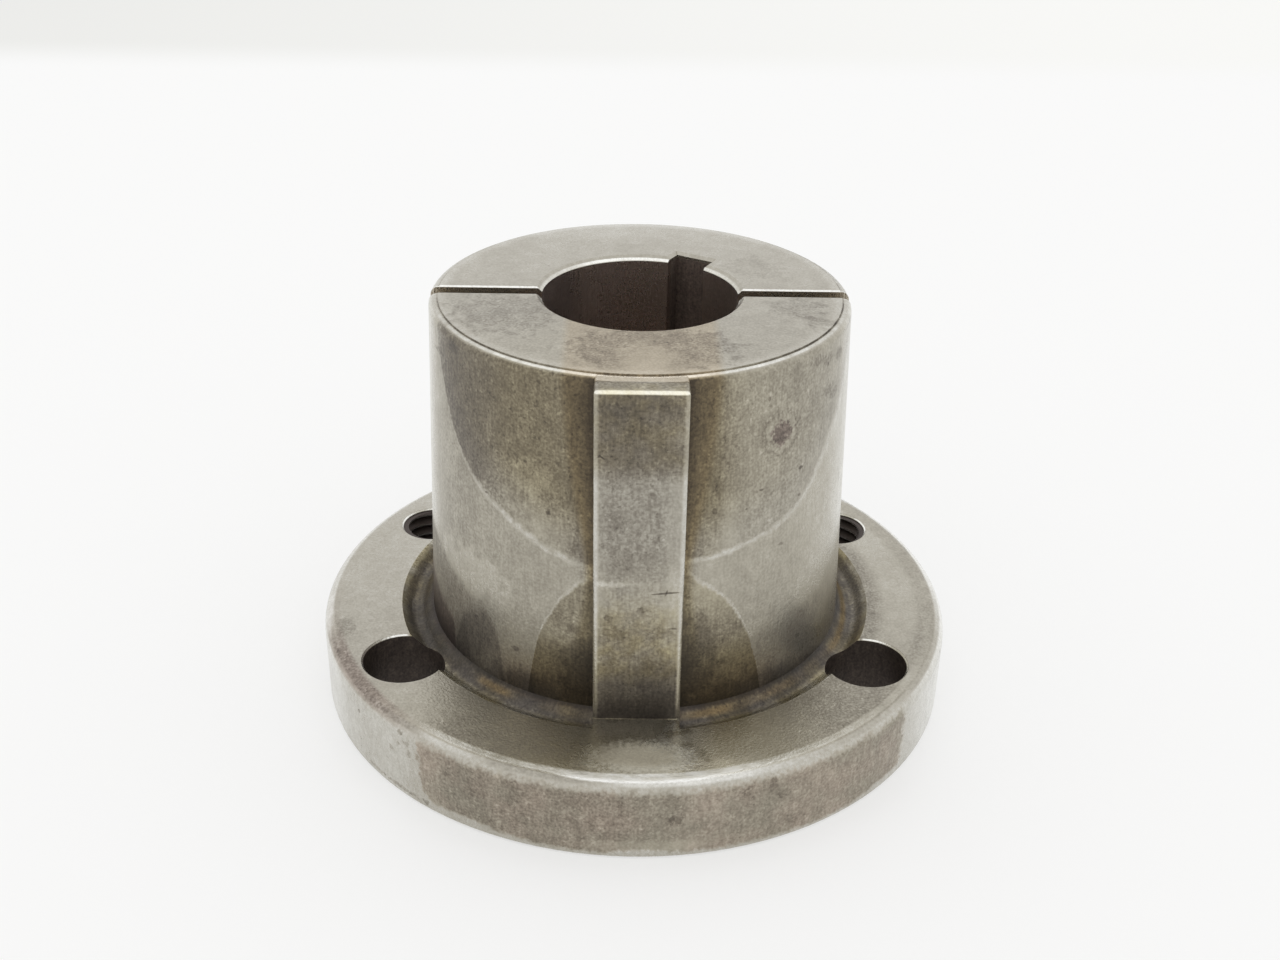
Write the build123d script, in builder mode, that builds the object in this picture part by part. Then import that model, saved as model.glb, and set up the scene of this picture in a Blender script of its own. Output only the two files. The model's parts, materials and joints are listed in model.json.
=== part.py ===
from build123d import *
import os
from math import radians, sqrt, tan

os.makedirs("parts", exist_ok=True)

# Flanged split taper bushing, one solid piece of steel. Millimetres.
# The origin is on the bore axis, in the flange's back face, with +Z towards
# the small end of the taper. The external key stands on the -Y side, and the
# two saw cuts that let the barrel close on a shaft lie along +X and -X.

# Flange: the uncut ring that the screws pull against
flange_diameter = 76.2
flange_thickness = 9.6
flange_rim_round = 1.5
flange_back_break = 0.3

# Tapered barrel
overall_height = 49.2
barrel_small_diameter = 47.34
taper_on_diameter = 1 / 16
barrel_end_round = 0.95

# The facing cut on the small end stops short of the corner and leaves a fine
# step. The narrow ledge below it is level with the top of the external key
end_step_height = 0.15
end_ledge_width = 0.05

# Relief groove round the barrel's foot, so that the hub seats on the flange
groove_width = 3.84
groove_flank_angle = 45
groove_bottom_round = 1.2

# Bore for the shaft
bore_diameter = 22.225
bore_mouth_chamfer = 0.6
bore_back_chamfer = 0.5

# Keyway in the bore, whose depth is measured at its sides
keyway_width = 4.76
keyway_depth = 2.38
keyway_angle = 60
keyway_mouth_break = 0.35

# External key, which drives the hub. It stands out least at the barrel's foot
key_width = 9.52
key_height_at_small_end = 2.93
key_edge_round = 0.4

# The two saw cuts
split_width = 2.0
split_offset = 0.28
split_edge_break = 0.18
split_floor_above_flange = 0.6

# Holes in the flange, all on one circle: plain ones for the screws, which
# take up the flange between a wall at its rim and a gap to the barrel, and
# tapped ones for the jack screws that free the bushing
screw_hole_rim_wall = 2.45
screw_hole_barrel_gap = 1.35
screw_hole_count = 3
screw_hole_start_angle = 90
jack_thread_diameter = 7.94
jack_hole_angles = (30, 150)
hole_mouth_break = 0.2

# Sizes that follow from the ones above
flange_radius = flange_diameter / 2
bore_radius = bore_diameter / 2
barrel_end_radius = barrel_small_diameter / 2
barrel_length = overall_height - flange_thickness
barrel_foot_radius = barrel_end_radius + barrel_length * taper_on_diameter / 2
groove_radius = barrel_foot_radius + groove_width
groove_middle_radius = barrel_foot_radius + groove_width / 2
groove_point = flange_thickness - groove_width / 2 * tan(radians(groove_flank_angle))
key_root = (bore_radius + barrel_end_radius) / 2
key_foot = groove_point / 2
key_reach = barrel_end_radius + key_height_at_small_end
key_top = overall_height - end_step_height
end_step_radius = barrel_end_radius - barrel_end_round - end_ledge_width
keyway_floor_radius = sqrt(bore_radius**2 - (keyway_width / 2) ** 2) + keyway_depth
split_floor = flange_thickness + split_floor_above_flange
screw_hole_outer_side = flange_radius - screw_hole_rim_wall
screw_hole_inner_side = barrel_foot_radius + screw_hole_barrel_gap
screw_hole_radius = (screw_hole_outer_side - screw_hole_inner_side) / 2
hole_circle_radius = (screw_hole_outer_side + screw_hole_inner_side) / 2

with BuildPart() as taper_bush:
    # Half section of the turned blank: flange, relief groove and tapered barrel
    with BuildSketch(Plane.XZ) as section:
        with BuildLine():
            Polyline(
                (barrel_foot_radius, flange_thickness),
                (barrel_end_radius, key_top),
                (end_step_radius, key_top),
                (end_step_radius, overall_height),
                (bore_radius, overall_height),
                (bore_radius, 0),
                (flange_radius, 0),
                (flange_radius, flange_thickness),
                (groove_radius, flange_thickness),
                (groove_middle_radius, groove_point),
                close=True,
            )
        make_face()
        for corner, size in (
            ((flange_radius, flange_thickness), flange_rim_round),
            ((barrel_end_radius, key_top), barrel_end_round),
            ((groove_middle_radius, groove_point), groove_bottom_round),
        ):
            fillet(section.vertices().sort_by_distance(corner)[0], size)
        for corner, size in (
            ((flange_radius, 0), flange_back_break),
            ((bore_radius, 0), bore_back_chamfer),
            ((bore_radius, overall_height), bore_mouth_chamfer),
        ):
            chamfer(section.vertices().sort_by_distance(corner)[0], size)
    revolve(axis=Axis.Z)

    # External key up the barrel, with its outer edges broken before it joins
    with BuildPart(mode=Mode.PRIVATE) as key:
        with BuildSketch(Plane.XY.offset(key_foot)):
            with Locations((0, -key_root)):
                Rectangle(key_width, key_reach - key_root, align=(Align.CENTER, Align.MAX))
        extrude(amount=key_top - key_foot)
        key_corners = key.edges().filter_by(Axis.Z).group_by(Axis.Y)[0]
        key_top_edges = key.faces().sort_by(Axis.Z)[-1].edges().sort_by(Axis.Y)[:-1]
        fillet(key_corners + key_top_edges, key_edge_round)
    add(key)

    # Bridge of flange face across the groove at the key's foot
    with BuildSketch(Plane.XY.offset(key_foot)):
        with Locations((0, -key_root)):
            Rectangle(key_width, groove_radius - key_root, align=(Align.CENTER, Align.MAX))
    extrude(amount=flange_thickness - key_foot)

    # Keyway for the shaft's key, the full length of the bore
    with BuildSketch(Plane.XY):
        with PolarLocations(0, 1, keyway_angle):
            Rectangle(keyway_floor_radius, keyway_width, align=(Align.MIN, Align.CENTER))
    extrude(amount=overall_height, mode=Mode.SUBTRACT)
    keyway_mouth = (
        taper_bush.faces(Select.LAST)
        .filter_by(GeomType.PLANE)
        .filter_by(Axis.Z, reverse=True)
        .edges()
        .group_by(Axis.Z)[-1]
    )
    chamfer(keyway_mouth, keyway_mouth_break)

    # Saw cuts across the whole barrel, from the small end nearly to the flange
    with BuildSketch(Plane.XY.offset(split_floor)):
        with Locations((0, -split_offset)):
            Rectangle(2 * groove_radius, split_width)
    extrude(amount=overall_height - split_floor, mode=Mode.SUBTRACT)
    end_edges = taper_bush.faces().filter_by(Axis.Z).group_by(Axis.Z)[-1].edges()
    split_edges = end_edges.filter_by(Axis.X).filter_by_position(
        Axis.Y, -split_offset - split_width, -split_offset + split_width
    )
    chamfer(split_edges, split_edge_break)

    # Plain screw holes and tapped jack-screw holes through the flange, each
    # with its mouth countersunk a little in the flange's face
    for wider, depth, slope in (
        (0, flange_thickness, 0),
        (hole_mouth_break, hole_mouth_break, 45),
    ):
        with BuildSketch(Plane.XY.offset(flange_thickness)):
            with PolarLocations(hole_circle_radius, screw_hole_count, screw_hole_start_angle):
                Circle(screw_hole_radius + wider)
            for angle in jack_hole_angles:
                with PolarLocations(hole_circle_radius, 1, angle):
                    Circle(jack_thread_diameter / 2 + wider)
        extrude(amount=-depth, taper=slope, mode=Mode.SUBTRACT)

taper_bush.part.label = "taper_bush"
export_step(taper_bush.part, "parts/taper_bush.step")
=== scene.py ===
import json
import math

import bmesh
import bpy
from mathutils import Matrix, Vector

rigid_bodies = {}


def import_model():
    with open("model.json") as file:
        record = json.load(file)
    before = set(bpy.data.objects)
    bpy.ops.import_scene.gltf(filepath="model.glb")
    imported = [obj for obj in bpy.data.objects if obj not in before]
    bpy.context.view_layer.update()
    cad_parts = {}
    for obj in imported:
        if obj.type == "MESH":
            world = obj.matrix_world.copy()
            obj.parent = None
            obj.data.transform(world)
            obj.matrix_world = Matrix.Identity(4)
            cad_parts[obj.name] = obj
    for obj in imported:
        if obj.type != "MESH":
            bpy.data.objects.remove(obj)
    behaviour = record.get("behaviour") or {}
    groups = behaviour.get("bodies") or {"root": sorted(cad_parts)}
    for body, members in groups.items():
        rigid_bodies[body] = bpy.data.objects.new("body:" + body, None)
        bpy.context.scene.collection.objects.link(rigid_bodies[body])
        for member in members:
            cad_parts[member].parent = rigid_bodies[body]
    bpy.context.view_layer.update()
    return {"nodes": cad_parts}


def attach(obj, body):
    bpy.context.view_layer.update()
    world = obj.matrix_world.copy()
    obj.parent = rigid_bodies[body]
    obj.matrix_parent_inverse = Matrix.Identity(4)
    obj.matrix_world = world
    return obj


for leftover in list(bpy.data.objects):
    bpy.data.objects.remove(leftover)
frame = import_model()


# Bush body. One solid piece of steel: a tapered barrel with an outside key,
# bored for the shaft, on a round flange. It is turned and sawn to size and
# has dulled in store, with old oil dried on it in tide marks and brown films.
bush = frame["nodes"]["taper_bush"]
MILLIMETRE = 0.001
KEY_HALF_WIDTH = 4.76
END_FACE = 49.2
BORE_RADIUS = 11.1125
SAW_CUT_AHEAD = 0.28
SAW_CUT_HALF_WIDTH = 1.0
FLANGE_FACE = 9.6
GROOVE_RADIUS = 28.75
RIM_RADIUS = 38.1
BARREL_ARC = 24.0
BARREL_DEGREE = math.radians(1) * BARREL_ARC
RIM_DEGREE = math.radians(1) * RIM_RADIUS


def join(tree, value, socket):
    if isinstance(value, bpy.types.NodeSocket):
        tree.links.new(value, socket)
    else:
        socket.default_value = value


def work_out(tree, how, *values):
    step = tree.nodes.new("ShaderNodeMath")
    step.operation = how
    for value, socket in zip(values, step.inputs):
        join(tree, value, socket)
    return step.outputs[0]


def chain(tree, how, values):
    result = values[0]
    for value in values[1:]:
        result = work_out(tree, how, result, value)
    return result


def times(tree, *values):
    return chain(tree, "MULTIPLY", values)


def plus(tree, *values):
    return chain(tree, "ADD", values)


def most(tree, *values):
    return chain(tree, "MAXIMUM", values)


def less(tree, value, taken):
    return work_out(tree, "SUBTRACT", value, taken)


def size_of(tree, value):
    return work_out(tree, "ABSOLUTE", value)


def fade(tree, value, start, end, low=0.0, high=1.0):
    """Goes smoothly from low to high while value goes from start to end."""
    step = tree.nodes.new("ShaderNodeMapRange")
    step.interpolation_type = "SMOOTHSTEP"
    for name, setting in (
        ("Value", value),
        ("From Min", start),
        ("From Max", end),
        ("To Min", low),
        ("To Max", high),
    ):
        join(tree, setting, step.inputs[name])
    return step.outputs["Result"]


def within(tree, value, low, high, soft):
    """Is 1 between low and high, and soft at both ends."""
    above = fade(tree, value, low - soft, low + soft)
    below = fade(tree, value, high - soft, high + soft, 1.0, 0.0)
    return times(tree, above, below)


def follow(tree, value, points, top=1.0):
    """Reads a smooth curve through points, whose heights are 0 to top."""
    first, last = points[0][0], points[-1][0]
    span = tree.nodes.new("ShaderNodeMapRange")
    join(tree, value, span.inputs["Value"])
    span.inputs["From Min"].default_value = first
    span.inputs["From Max"].default_value = last
    curve = tree.nodes.new("ShaderNodeFloatCurve")
    tree.links.new(span.outputs["Result"], curve.inputs["Value"])
    line = curve.mapping.curves[0]
    line.points[0].location = (0, points[0][1] / top)
    line.points[-1].location = (1, points[-1][1] / top)
    for place, height in points[1:-1]:
        line.points.new((place - first) / (last - first), height / top)
    curve.mapping.update()
    return times(tree, curve.outputs["Value"], top)


def pick(tree, mask, outside, inside):
    mix = tree.nodes.new("ShaderNodeMix")
    mix.data_type = "FLOAT"
    join(tree, mask, mix.inputs[0])
    join(tree, outside, mix.inputs[2])
    join(tree, inside, mix.inputs[3])
    return mix.outputs[0]


def dull(tree, tone, mask, share):
    """Leaves only a share of the tone where the mask is 1."""
    return times(tree, tone, pick(tree, mask, 1.0, share))


def cloud(tree, place, size, stretch=(1, 1, 1), detail=4, seed=0.0):
    """Even noise of about 0 to 1 whose patches are size millimetres across."""
    turned = tree.nodes.new("ShaderNodeMapping")
    join(tree, place, turned.inputs["Vector"])
    turned.inputs["Location"].default_value = (seed, seed * 1.7, -seed)
    turned.inputs["Scale"].default_value = [1 / (size * part) for part in stretch]
    noise = tree.nodes.new("ShaderNodeTexNoise")
    tree.links.new(turned.outputs["Vector"], noise.inputs["Vector"])
    noise.inputs["Scale"].default_value = 1
    noise.inputs["Detail"].default_value = detail
    return fade(tree, noise.outputs["Fac"], 0.28, 0.72)


def new_group(name, inputs, outputs):
    group = bpy.data.node_groups.new(name, "ShaderNodeTree")
    for label, kind, start in inputs:
        socket = group.interface.new_socket(label, in_out="INPUT", socket_type=kind)
        if start is not None:
            socket.default_value = start
    for label, kind in outputs:
        group.interface.new_socket(label, in_out="OUTPUT", socket_type=kind)
    asked = group.nodes.new("NodeGroupInput").outputs
    given = group.nodes.new("NodeGroupOutput").inputs
    return group, asked, given


def use_group(tree, group, **settings):
    step = tree.nodes.new("ShaderNodeGroup")
    step.node_tree = group
    for name, value in settings.items():
        join(tree, value, step.inputs[name.replace("_", " ")])
    return step.outputs


# Where a point is on the bush, in millimetres and degrees from the key
FLOAT, VECTOR = "NodeSocketFloat", "NodeSocketVector"
place_on_bush, _, given = new_group(
    "place_on_bush",
    (),
    (
        ("Place", VECTOR),
        ("Unrolled", VECTOR),
        ("Along Arc", FLOAT),
        ("Across", FLOAT),
        ("Ahead", FLOAT),
        ("Height", FLOAT),
        ("Radius", FLOAT),
        ("Around", FLOAT),
        ("Upright", FLOAT),
    ),
)
tree = place_on_bush
coordinates = tree.nodes.new("ShaderNodeTexCoord")
scaled = tree.nodes.new("ShaderNodeVectorMath")
scaled.operation = "SCALE"
tree.links.new(coordinates.outputs["Object"], scaled.inputs[0])
scaled.inputs["Scale"].default_value = 1 / MILLIMETRE
parts = tree.nodes.new("ShaderNodeSeparateXYZ")
tree.links.new(scaled.outputs[0], parts.inputs[0])
facing = tree.nodes.new("ShaderNodeSeparateXYZ")
tree.links.new(coordinates.outputs["Normal"], facing.inputs[0])
across, height = parts.outputs[0], parts.outputs[2]
ahead = times(tree, parts.outputs[1], -1.0)
squares = [work_out(tree, "POWER", size_of(tree, side), 2.0) for side in (across, ahead)]
radius = work_out(tree, "SQRT", plus(tree, *squares))
turn = work_out(tree, "ARCTAN2", across, ahead)
along_arc = times(tree, turn, BARREL_ARC)
unrolled = tree.nodes.new("ShaderNodeCombineXYZ")
tree.links.new(along_arc, unrolled.inputs[0])
tree.links.new(radius, unrolled.inputs[1])
tree.links.new(height, unrolled.inputs[2])
for label, value in (
    ("Place", scaled.outputs[0]),
    ("Unrolled", unrolled.outputs[0]),
    ("Along Arc", along_arc),
    ("Across", across),
    ("Ahead", ahead),
    ("Height", height),
    ("Radius", radius),
    ("Around", work_out(tree, "DEGREES", turn)),
    ("Upright", facing.outputs[2]),
):
    tree.links.new(value, given[label])

# A tide mark: the side that the old oil lay on, and the pale line at its edge
tide_mark, asked, given = new_group(
    "tide_mark",
    (
        ("Distance", FLOAT, None),
        ("Ragged", FLOAT, None),
        ("Softness", FLOAT, 0.35),
        ("Line Width", FLOAT, 0.35),
    ),
    (("Side", FLOAT), ("Line", FLOAT)),
)
tree = tide_mark
edge = plus(tree, asked["Distance"], times(tree, asked["Ragged"], 0.35))
before = times(tree, asked["Softness"], -1.0)
tree.links.new(fade(tree, edge, before, asked["Softness"]), given["Side"])
off = work_out(tree, "DIVIDE", size_of(tree, edge), asked["Line Width"])
tree.links.new(fade(tree, off, 0.1, 1.7, 1.0, 0.0), given["Line"])

# A round or oval blot, ragged at its edge
blot, asked, given = new_group(
    "blot",
    (
        ("Across", FLOAT, None),
        ("Up", FLOAT, None),
        ("Middle Across", FLOAT, 0.0),
        ("Middle Up", FLOAT, 0.0),
        ("Half Width", FLOAT, 1.0),
        ("Half Height", FLOAT, 1.0),
        ("Ragged", FLOAT, 0.0),
    ),
    (("Reach", FLOAT), ("Mask", FLOAT)),
)
tree = blot
legs = []
for direction, middle, half in (
    ("Across", "Middle Across", "Half Width"),
    ("Up", "Middle Up", "Half Height"),
):
    leg = less(tree, asked[direction], asked[middle])
    leg = work_out(tree, "DIVIDE", leg, asked[half])
    legs.append(work_out(tree, "POWER", size_of(tree, leg), 2.0))
reach = work_out(tree, "SQRT", plus(tree, *legs))
reach = plus(tree, reach, asked["Ragged"])
tree.links.new(reach, given["Reach"])
tree.links.new(fade(tree, reach, 0.6, 1.2, 1.0, 0.0), given["Mask"])


def blot_at(tree, across, up, middle, half, edge=0.0):
    return use_group(
        tree,
        blot,
        Across=across,
        Up=up,
        Middle_Across=middle[0],
        Middle_Up=middle[1],
        Half_Width=half[0],
        Half_Height=half[1],
        Ragged=edge,
    )


def stained(tree, tone, across, up, edge, stains, degree=1.0, broken=()):
    """Dulls the tone by stains, each with its place, half sizes and share of tone left."""
    for middle_across, middle_up, half_width, half_height, share in stains:
        middle = (middle_across * degree, middle_up)
        stain = blot_at(tree, across, up, middle, (half_width, half_height), edge)
        tone = dull(tree, tone, times(tree, stain["Mask"], *broken), share)
    return tone


steel = bpy.data.materials.new("aged_steel")
steel.use_nodes = True
tree = steel.node_tree
surface = tree.nodes["Principled BSDF"]
on = use_group(tree, place_on_bush)
place, around, height, radius, across, ahead, arc = (
    on[label] for label in ("Place", "Around", "Height", "Radius", "Across", "Ahead", "Along Arc")
)
aside = size_of(tree, across)
steepness = size_of(tree, on["Upright"])
ragged = less(tree, cloud(tree, place, 1.3, detail=5), 0.5)
fine_ragged = less(tree, cloud(tree, place, 0.45, detail=2, seed=4.4), 0.5)
in_front = fade(tree, ahead, 0, 1)

# Barrel: clean sides, a brown film above the upper tide mark, oil dried
# browner beside the key, and dirt with painted shade towards the foot
clean_barrel = follow(
    tree,
    around,
    (
        (-180, 0.46), (-120, 0.54), (-90, 0.72), (-80, 0.70), (-75, 0.60), (-70, 0.465),
        (-64, 0.39), (-55, 0.35), (-45, 0.36), (-30, 0.385), (-20, 0.41), (0, 0.42), (20, 0.44),
        (30, 0.40), (40, 0.40), (50, 0.445), (60, 0.475), (70, 0.575), (78, 0.65), (90, 0.66),
        (120, 0.54), (180, 0.46),
    ),
)
filmed_barrel = follow(
    tree,
    around,
    (
        (-180, 0.32), (-100, 0.36), (-70, 0.30), (-62, 0.195), (-54, 0.165), (-40, 0.19),
        (-30, 0.195), (-20, 0.21), (-16, 0.18), (0, 0.15), (14, 0.185), (17, 0.20), (21, 0.255),
        (26, 0.33), (35, 0.335), (42, 0.33), (55, 0.36), (65, 0.40), (75, 0.52), (100, 0.42),
        (180, 0.32),
    ),
)
upper_line = follow(
    tree,
    around,
    (
        (-100, 60), (-72, 52), (-64.5, 44.5), (-60, 40.5), (-57.5, 38.6), (-50, 35), (-42, 32.5),
        (-35, 31), (-25, 28.9), (-12, 27.5), (12.5, 28.1), (20, 28.4), (30, 29.2), (40, 30.3),
        (45, 31.4), (50, 33), (55, 35.3), (60, 37.3), (65, 39.5), (72, 43.5), (80, 50), (100, 60),
    ),
    60,
)
above_line = less(tree, height, upper_line)
right_side = fade(tree, around, 48, 62)
upper = use_group(
    tree,
    tide_mark,
    Distance=above_line,
    Ragged=ragged,
    Softness=pick(tree, right_side, 0.3, 1.2),
    Line_Width=follow(
        tree,
        around,
        (
            (-80, 0.3), (-62, 0.3), (-48, 0.42), (-25, 0.5), (0, 0.4), (30, 0.35), (48, 0.45),
            (58, 0.9), (80, 1.2),
        ),
    ),
)
paler = follow(
    tree,
    around,
    (
        (-64, 0), (-50, 0.2), (-40, 0.42), (-32, 0.72), (-22, 0.62), (-14, 0.5), (0, 0.5),
        (14, 0.7), (20, 0.6), (26, 0.22), (32, 0.04), (44, 0.1), (64, 0),
    ),
)
paler_reach = follow(
    tree,
    around,
    ((-64, 2), (-45, 4), (-34, 8.5), (-20, 8), (20, 9), (40, 5), (64, 2)),
    10,
)
paler = times(tree, paler, fade(tree, above_line, paler_reach, 0.5))
film = times(tree, filmed_barrel, plus(tree, paler, 1.0))
film = dull(tree, film, fade(tree, height, 46, 48.8), 1.06)
barrel = pick(tree, upper["Side"], clean_barrel, film)
oil = pick(
    tree,
    upper["Side"],
    0.1,
    times(
        tree,
        follow(
            tree,
            around,
            (
                (-75, 0.05), (-55, 0.3), (-42, 0.5), (-30, 0.75), (-14, 0.7), (14, 0.9), (22, 0.5),
                (32, 0.25), (75, 0.1),
            ),
        ),
        fade(tree, above_line, 1, 8, 0.3, 1.0),
    ),
)

# Oil that crept from under the key into two arcs at the barrel's foot
lower_line = follow(
    tree,
    around,
    (
        (-32, 0), (-29, 10), (-27, 15.4), (-25.3, 18.3), (-22.5, 20.8), (-20, 22.6), (-17, 24.2),
        (-14, 25.5), (0, 27), (12.5, 26.8), (15, 25.7), (18, 24.7), (20.5, 23.8), (23.5, 22.4),
        (26, 20.7), (28, 19.1), (29.7, 17.6), (31, 15.6), (33, 12.6), (36, 0),
    ),
    60,
)
lower = use_group(
    tree,
    tide_mark,
    Distance=less(tree, lower_line, height),
    Ragged=fine_ragged,
    Softness=0.3,
    Line_Width=0.32,
)
left_arc = follow(
    tree,
    height,
    (
        (9, 0.11), (12, 0.14), (14, 0.165), (16, 0.2), (18, 0.33), (20, 0.31), (22, 0.31),
        (24, 0.33), (27, 0.36),
    ),
)
right_arc = follow(
    tree,
    height,
    ((9, 0.12), (12, 0.15), (14, 0.18), (16, 0.22), (18, 0.26), (20, 0.31), (24, 0.43), (27, 0.46)),
)
arcs = pick(tree, fade(tree, around, -5, 5), left_arc, right_arc)
barrel = pick(tree, lower["Side"], barrel, arcs)
oil = pick(tree, lower["Side"], oil, fade(tree, height, 19, 14.5, 0.45, 1.0))

# Grey and violet films round the foot, each with its own edge
left_film = follow(
    tree,
    around,
    (
        (-180, 5), (-150, 12), (-120, 18), (-95, 22), (-80, 22.6), (-70, 22.0), (-65, 21.3),
        (-60, 20.5), (-50, 19.2), (-40, 18.2), (-32, 15), (-29, 8), (0, 0),
    ),
    60,
)
in_left_film = fade(tree, less(tree, left_film, height), -0.5, 0.7)
barrel = dull(
    tree,
    barrel,
    in_left_film,
    follow(
        tree,
        around,
        (
            (-150, 0.8), (-100, 0.65), (-80, 0.45), (-72, 0.55), (-62, 0.64), (-50, 0.82),
            (-42, 0.92), (-30, 0.95),
        ),
    ),
)
violet_film = follow(
    tree,
    around,
    (
        (-150, 5), (-120, 12), (-100, 15), (-80, 16.2), (-70, 15.0), (-62, 14.0), (-58.5, 13.4),
        (-56.5, 5), (-50, 0),
    ),
    60,
)
in_violet_film = fade(tree, less(tree, violet_film, height), -0.4, 0.9)
barrel = dull(tree, barrel, in_violet_film, 0.42)
dark_patch = follow(
    tree,
    around,
    (
        (-60, 5), (-58, 10.5), (-56, 13), (-54, 15.2), (-51, 17), (-47, 17.9), (-41, 17.6),
        (-38, 14), (-35, 0),
    ),
    60,
)
in_dark_patch = fade(tree, less(tree, dark_patch, height), -0.2, 1.6)
barrel = dull(tree, barrel, in_dark_patch, 0.52)
right_film = follow(
    tree,
    around,
    (
        (0, 0), (31, 8), (33, 17.2), (40, 17.4), (45, 17.9), (57, 18.2), (65, 20.2), (75, 22),
        (80, 23), (95, 22), (120, 18), (150, 12), (180, 5),
    ),
    60,
)
in_right_film = fade(tree, less(tree, right_film, height), -0.8, 1.4)
barrel = dull(
    tree,
    barrel,
    in_right_film,
    follow(tree, around, ((30, 0.85), (45, 0.76), (60, 0.85), (70, 0.82), (80, 0.74), (100, 0.8))),
)
barrel = dull(
    tree, barrel, times(tree, fade(tree, height, 17, 12), within(tree, around, 70, 105, 10)), 1.3
)
barrel = stained(
    tree,
    barrel,
    arc,
    height,
    times(tree, ragged, 0.6),
    (
        (51, 15.3, 3.6, 2.8, 0.8),
        (-28.5, 36.6, 2.6, 2.2, 1.4),
        (-22, 32.0, 4.5, 2.6, 1.16),
        (-19.0, 20.6, 2.0, 1.5, 0.92),
        (-15, 14.8, 2.4, 5.0, 0.6),
        (15.3, 15.5, 2.6, 5.4, 0.6),
        (-50, 21.6, 6.4, 3.4, 1.3),
    ),
    BARREL_DEGREE,
)
pale_line = times(
    tree,
    upper["Line"],
    follow(
        tree,
        around,
        (
            (-80, 0.0), (-66, 0.3), (-50, 0.65), (-40, 1.0), (-20, 0.9), (-11, 0.4), (11, 0.7),
            (16, 1.0), (34, 0.75), (50, 0.6), (62, 0.5), (80, 0.2),
        ),
    ),
)
arc_line = times(
    tree,
    lower["Line"],
    follow(
        tree,
        height,
        (
            (11, 0.0), (13, 0.25), (15, 0.4), (17, 0.5), (18.5, 0.95), (22, 0.75), (25, 0.85),
            (27, 0.9),
        ),
    ),
)
pale_line = most(tree, pale_line, arc_line)
pale_line = times(
    tree, pale_line, pick(tree, cloud(tree, place, 0.5, detail=3, seed=6.6), 0.6, 1.2)
)
barrel = plus(tree, barrel, times(tree, pale_line, 0.15))
oil = dull(tree, oil, pale_line, 0.2)
foot_line = follow(
    tree,
    around,
    (
        (-180, 10), (-120, 11), (-60, 11), (-45, 10.5), (-37, 11.6), (-31, 12.6), (-27, 13),
        (-20, 14), (-14, 17), (0, 18), (14, 16.5), (18, 13.8), (24, 12.4), (32, 13.2), (38, 12.3),
        (45, 11.3), (53, 9.8), (70, 9), (120, 9.5), (180, 10),
    ),
    60,
)
foot_share = follow(
    tree,
    around,
    (
        (-180, 0.8), (-120, 0.7), (-70, 0.62), (-60, 0.78), (-44, 0.85), (-38, 0.5), (-34, 0.32),
        (-29, 0.34), (-25, 0.8), (0, 0.85), (20, 0.8), (30, 0.95), (36, 0.66), (45, 0.45),
        (56, 0.52), (66, 0.8), (75, 0.9), (180, 0.8),
    ),
)
barrel = dull(tree, barrel, fade(tree, less(tree, foot_line, height), -1.6, 1.6), foot_share)
# Darker towards the foot, partly painted shade where the barrel meets the flange
barrel = times(
    tree,
    barrel,
    follow(
        tree,
        height,
        (
            (9, 0.36), (10.0, 0.52), (11, 0.72), (12.5, 0.85), (15, 0.93), (18, 0.98), (22, 1.0),
            (50, 1.0),
        ),
    ),
)
# Darker still at the foot beside the key: dirt and painted shade
foot_dirt_and_shade = follow(
    tree,
    around,
    ((-36, 0), (-29, 0.8), (-18, 0.8), (-12, 0), (15, 0), (22, 0.8), (40, 1.0), (50, 0.8), (58, 0)),
)
barrel = dull(tree, barrel, times(tree, foot_dirt_and_shade, fade(tree, height, 12.8, 10.8)), 0.56)
# Painted shade in the corners where the barrel meets the key, in front
key_corner_shade = follow(
    tree,
    aside,
    ((4.5, 0.40), (5.0, 0.50), (5.6, 0.72), (6.4, 0.92), (7.4, 0.98), (9, 1.0), (26, 1.0)),
)
barrel = times(tree, barrel, pick(tree, in_front, 1.0, key_corner_shade))
strip_width = follow(
    tree,
    height,
    ((9, 6.6), (18, 6.3), (22, 5.6), (27, 5.2), (31, 5.7), (36, 6.6), (41, 7.2), (50, 7.8)),
    10,
)
beside_key = times(tree, fade(tree, less(tree, aside, strip_width), 0.9, -0.4), in_front)
barrel = dull(
    tree,
    barrel,
    beside_key,
    follow(tree, height, ((9, 0.85), (25, 0.85), (29, 1.05), (40, 0.92), (43, 0.76), (50, 0.74))),
)
oil = pick(tree, beside_key, oil, 0.95)

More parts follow.
